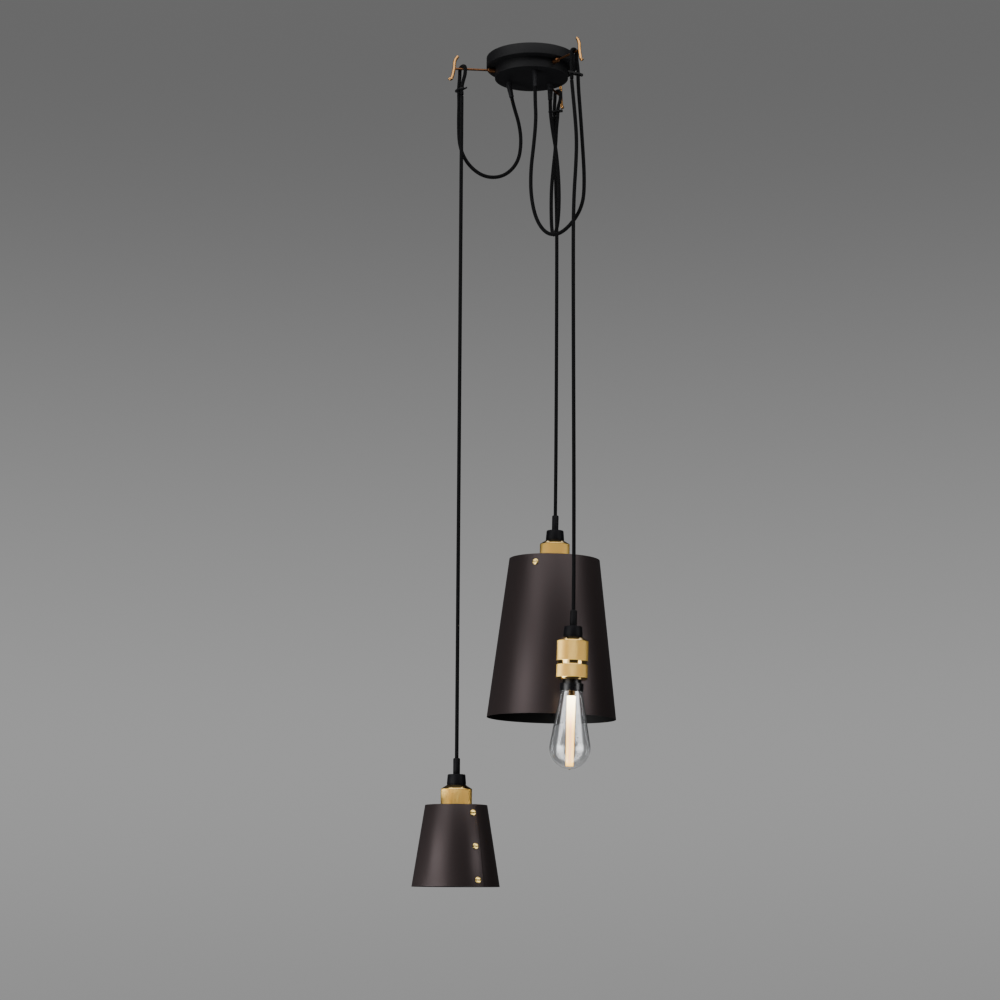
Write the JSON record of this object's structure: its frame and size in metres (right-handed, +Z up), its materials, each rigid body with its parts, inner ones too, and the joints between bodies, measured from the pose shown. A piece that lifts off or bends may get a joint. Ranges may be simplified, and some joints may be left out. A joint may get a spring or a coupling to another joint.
{
  "type": "three-drop pendant light",
  "caption": "Ceiling pendant light: black cords swagged over brass hooks from a round rose to a small shade, a large shade and a bare bulb.",
  "frame": {"origin": "centre of the rose's ceiling face, midway between the two slots of the fixing strap", "axes": "+Z up into the ceiling, +X to the right and +Y away from the viewer as the light is seen from the front"},
  "size_m": [0.3316, 0.3478, 1.385],
  "materials": {
    "steel": "zinc plated pressed steel",
    "rose_black": "fine textured matt black powder coat",
    "terminal": "moulded polyamide",
    "gland_black": "moulded nylon",
    "hook_brass": "darkened satin brass",
    "cord": "woven black textile over the cable",
    "tie": "nylon",
    "sleeve_black": "soft matt black",
    "grip_black": "moulded, satin",
    "knurled_brass": "satin brass with fine diamond knurling and polished edges",
    "insulator": "moulded phenolic",
    "contact_brass": "bright pressed brass",
    "cap_nickel": "plain rolled",
    "collar_black": "glossy black",
    "clear_glass": "clear blown glass",
    "light_pipe": "clear acrylic rod, lit warm white",
    "light_base": "dark brass",
    "shade_dark": "satin dark brown-black coat on steel sheet",
    "screw_brass": "polished"
  },
  "bodies": {
    "rose": {"ceiling_bracket": "steel", "rose_upper_disc": "rose_black", "rose_lower_disc": "rose_black", "terminal_block": "terminal", "rose_screws": "rose_black", "cord_glands": "gland_black", "hook_fixings": "hook_brass", "cable_ties": "tie", "hook_left": "hook_brass", "hook_right": "hook_brass", "hook_back": "hook_brass", "cord_swag_left": "cord", "cord_swag_right": "cord", "cord_swag_back": "cord"},
    "left_neck": {"cord_neck_left": "cord"},
    "left_drop": {"cord_drop_left": "cord"},
    "left_lamp": {"cord_sleeve_left": "sleeve_black", "cord_grip_left": "grip_black", "holder_barrel_left": "knurled_brass", "holder_core_left": "insulator", "screw_shell_left": "contact_brass"},
    "left_contact": {"centre_contact_left": "contact_brass"},
    "left_bulb": {"bulb_cap_left": "cap_nickel", "bulb_collar_left": "collar_black", "bulb_glass_left": "clear_glass", "bulb_light_pipe_left": "light_pipe"},
    "left_ring": {"shade_ring_left": "knurled_brass"},
    "left_shade": {"small_shade": "shade_dark", "small_shade_plate": "shade_dark", "small_shade_screws": "screw_brass"},
    "right_neck": {"cord_neck_right": "cord"},
    "right_drop": {"cord_drop_right": "cord"},
    "right_lamp": {"cord_sleeve_right": "sleeve_black", "cord_grip_right": "grip_black", "holder_barrel_right": "knurled_brass", "holder_core_right": "insulator", "screw_shell_right": "contact_brass"},
    "right_contact": {"centre_contact_right": "contact_brass"},
    "right_bulb": {"bulb_cap_right": "cap_nickel", "bulb_collar_right": "collar_black", "bulb_glass_right": "clear_glass", "bulb_light_pipe_right": "light_pipe", "bulb_light_base_right": "light_base"},
    "right_ring": {"shade_ring_right": "knurled_brass"},
    "back_neck": {"cord_neck_back": "cord"},
    "back_drop": {"cord_drop_back": "cord"},
    "back_lamp": {"cord_sleeve_back": "sleeve_black", "cord_grip_back": "grip_black", "holder_barrel_back": "knurled_brass", "holder_core_back": "insulator", "screw_shell_back": "contact_brass"},
    "back_contact": {"centre_contact_back": "contact_brass"},
    "back_bulb": {"bulb_cap_back": "cap_nickel", "bulb_collar_back": "collar_black", "bulb_glass_back": "clear_glass", "bulb_light_pipe_back": "light_pipe"},
    "back_ring": {"shade_ring_back": "knurled_brass"},
    "back_shade": {"large_shade": "shade_dark", "large_shade_plate": "shade_dark", "large_shade_screws": "screw_brass"}
  },
  "joints": [
    {"name": "left_swing_out", "type": "hinge", "parent": "rose", "child": "left_neck", "pos_m": [-0.1172, -0.017, -0.066], "axis": [-0.108, 0.9942, 0], "range_deg": [-1, 20]},
    {"name": "left_swing_side", "type": "hinge", "parent": "left_neck", "child": "left_drop", "pos_m": [-0.1172, -0.017, -0.0743], "axis": [-0.9942, -0.108, 0], "range_deg": [-0.7, 12]},
    {"name": "left_lamp_twist", "type": "hinge", "parent": "left_drop", "child": "left_lamp", "pos_m": [-0.1172, -0.017, -1.1816], "axis": [0, 0, -1], "range_deg": [-90, 90], "stiffness_Nm_per_rad": 0.005},
    {"name": "left_shade_travel", "type": "slide", "parent": "left_lamp", "child": "left_shade", "axis": [0, 0, -1], "range_m": [0, 0.004]},
    {"name": "left_ring_turn", "type": "hinge", "parent": "left_shade", "child": "left_ring", "pos_m": [-0.1172, -0.017, -1.1816], "axis": [0, 0, -1], "range_deg": [0, 720]},
    {"name": "left_bulb_travel", "type": "slide", "parent": "left_lamp", "child": "left_contact", "axis": [0, 0, -1], "range_m": [0, 0.0018]},
    {"name": "left_bulb_turn", "type": "hinge", "parent": "left_contact", "child": "left_bulb", "pos_m": [-0.1172, -0.017, -1.1816], "axis": [0, 0, -1], "range_deg": [0, 180]},
    {"name": "right_swing_out", "type": "hinge", "parent": "rose", "child": "right_neck", "pos_m": [0.0651, -0.0975, -0.066], "axis": [-0.807, -0.5906, 0], "range_deg": [-1, 20]},
    {"name": "right_swing_side", "type": "hinge", "parent": "right_neck", "child": "right_drop", "pos_m": [0.0651, -0.0975, -0.0743], "axis": [-0.5906, 0.807, 0], "range_deg": [-0.7, 12]},
    {"name": "right_lamp_twist", "type": "hinge", "parent": "right_drop", "child": "right_lamp", "pos_m": [0.0677, -0.0975, -0.9526], "axis": [-0.0279, 0, -0.9996], "range_deg": [-90, 90], "stiffness_Nm_per_rad": 0.005},
    {"name": "right_ring_turn", "type": "hinge", "parent": "right_lamp", "child": "right_ring", "pos_m": [0.0677, -0.0975, -0.9526], "axis": [-0.0279, 0, -0.9996], "range_deg": [0, 360]},
    {"name": "right_bulb_travel", "type": "slide", "parent": "right_lamp", "child": "right_contact", "axis": [-0.0279, 0, -0.9996], "range_m": [0, 0.0018]},
    {"name": "right_bulb_turn", "type": "hinge", "parent": "right_contact", "child": "right_bulb", "pos_m": [0.0677, -0.0975, -0.9526], "axis": [-0.0279, 0, -0.9996], "range_deg": [0, 180]},
    {"name": "back_swing_out", "type": "hinge", "parent": "rose", "child": "back_neck", "pos_m": [0.0412, 0.1083, -0.066], "axis": [0.915, -0.4035, 0], "range_deg": [-1, 20]},
    {"name": "back_swing_side", "type": "hinge", "parent": "back_neck", "child": "back_drop", "pos_m": [0.0412, 0.1083, -0.0743], "axis": [0.4035, 0.915, 0], "range_deg": [-0.7, 12]},
    {"name": "back_lamp_twist", "type": "hinge", "parent": "back_drop", "child": "back_lamp", "pos_m": [0.0436, 0.109, -0.7663], "axis": [-0.0192, 0, -0.9998], "range_deg": [-90, 90], "stiffness_Nm_per_rad": 0.005},
    {"name": "back_shade_travel", "type": "slide", "parent": "back_lamp", "child": "back_shade", "axis": [-0.0192, 0, -0.9998], "range_m": [0, 0.004]},
    {"name": "back_ring_turn", "type": "hinge", "parent": "back_shade", "child": "back_ring", "pos_m": [0.0436, 0.109, -0.7663], "axis": [-0.0192, 0, -0.9998], "range_deg": [0, 720]},
    {"name": "back_bulb_travel", "type": "slide", "parent": "back_lamp", "child": "back_contact", "axis": [-0.0192, 0, -0.9998], "range_m": [0, 0.0018]},
    {"name": "back_bulb_turn", "type": "hinge", "parent": "back_contact", "child": "back_bulb", "pos_m": [0.0436, 0.109, -0.7663], "axis": [-0.0192, 0, -0.9998], "range_deg": [0, 180]}
  ],
  "couplings": [
    {"joint": "left_ring_turn", "follows": "left_shade_travel", "rad_per_m": 3141.6},
    {"joint": "left_bulb_turn", "follows": "left_bulb_travel", "rad_per_m": 1731.4},
    {"joint": "right_bulb_turn", "follows": "right_bulb_travel", "rad_per_m": 1731.4},
    {"joint": "back_ring_turn", "follows": "back_shade_travel", "rad_per_m": 3141.6},
    {"joint": "back_bulb_turn", "follows": "back_bulb_travel", "rad_per_m": 1731.4}
  ]
}
